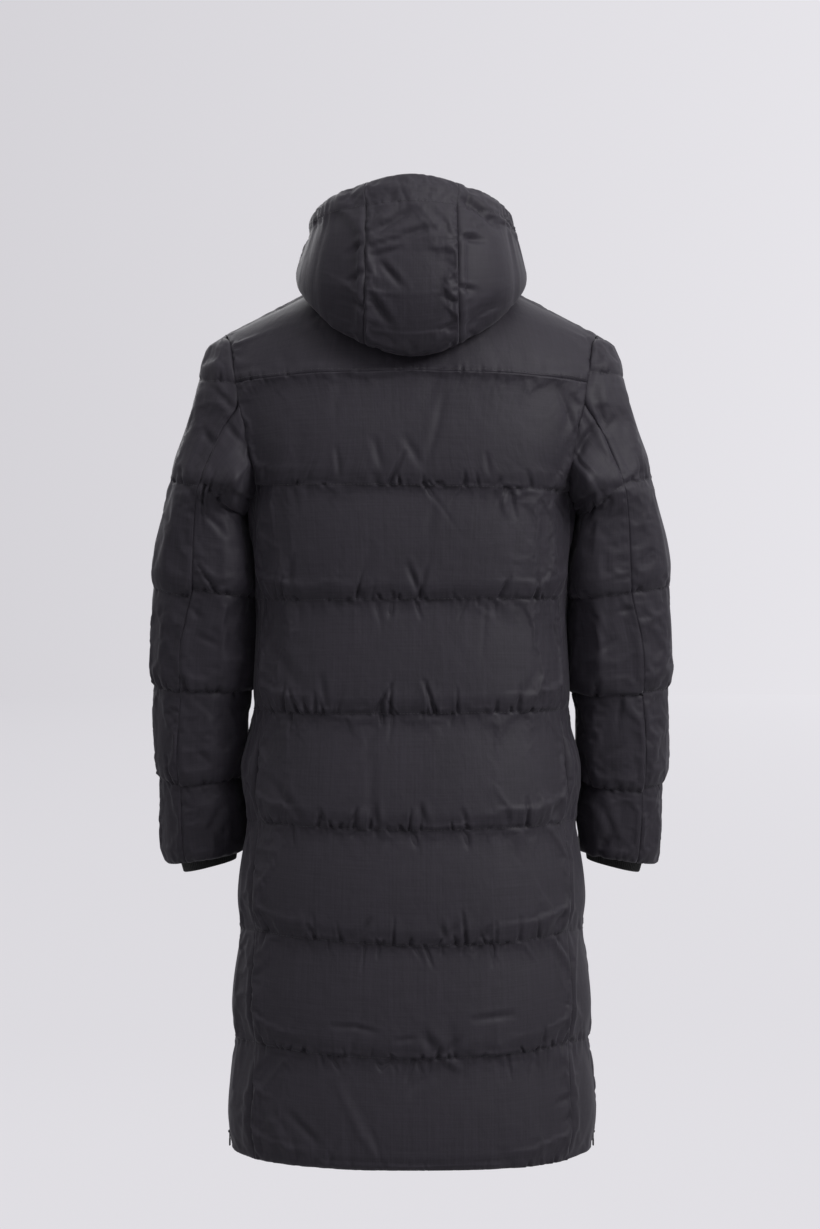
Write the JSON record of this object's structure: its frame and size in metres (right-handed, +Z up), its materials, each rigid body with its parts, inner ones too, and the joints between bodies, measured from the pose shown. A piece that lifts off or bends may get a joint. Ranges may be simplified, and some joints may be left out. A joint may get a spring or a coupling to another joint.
{
  "type": "puffer jacket",
  "caption": "Long hooded puffer coat in its worn shape, hood down, arms hanging, quilted in level channels, with a front zip and side-vent zips.",
  "frame": {"origin": "the middle of the neck, level with the back neck seam", "axes": "+Z up along the worn coat, the front faces -Y, the wearer's left is +X"},
  "size_m": [0.658, 0.3423, 1.2002],
  "materials": {
    "shell": "matte woven nylon, padded",
    "rib_knit": "rib knit",
    "zip_tape": "woven tape with a nylon coil",
    "zip_metal": "black painted zinc"
  },
  "bodies": {
    "coat": {"back_panel": "shell", "back_yoke": "shell", "side_panel_left": "shell", "side_panel_right": "shell", "front_left": "shell", "front_right": "shell", "sleeve_top_left": "shell", "sleeve_top_right": "shell", "sleeve_under_left": "shell", "sleeve_under_right": "shell", "hood_centre": "shell", "hood_side_left": "shell", "hood_side_right": "shell", "collar": "shell", "storm_cuff_left": "rib_knit", "storm_cuff_right": "rib_knit", "front_zip": "zip_tape", "vent_zip_left": "zip_tape", "vent_zip_right": "zip_tape", "front_slider": "zip_metal", "vent_slider_left": "zip_metal", "vent_slider_right": "zip_metal"},
    "front_tab": {"front_pull": "zip_metal"},
    "vent_tab_left": {"vent_pull_left": "zip_metal"},
    "vent_tab_right": {"vent_pull_right": "zip_metal"}
  },
  "joints": [
    {"name": "front_tab_swing", "type": "hinge", "parent": "coat", "child": "front_tab", "pos_m": [0, -0.09692, -0.0605], "axis": [-1, 0, 0], "range_deg": [0, 165]},
    {"name": "vent_tab_left_swing", "type": "hinge", "parent": "coat", "child": "vent_tab_left", "pos_m": [0.22935, -0.03752, -1.076], "axis": [-0.2064, -0.9785, 0], "range_deg": [0, 165]},
    {"name": "vent_tab_right_swing", "type": "hinge", "parent": "coat", "child": "vent_tab_right", "pos_m": [-0.22935, -0.03752, -1.076], "axis": [-0.2064, 0.9785, 0], "range_deg": [0, 165]}
  ]
}
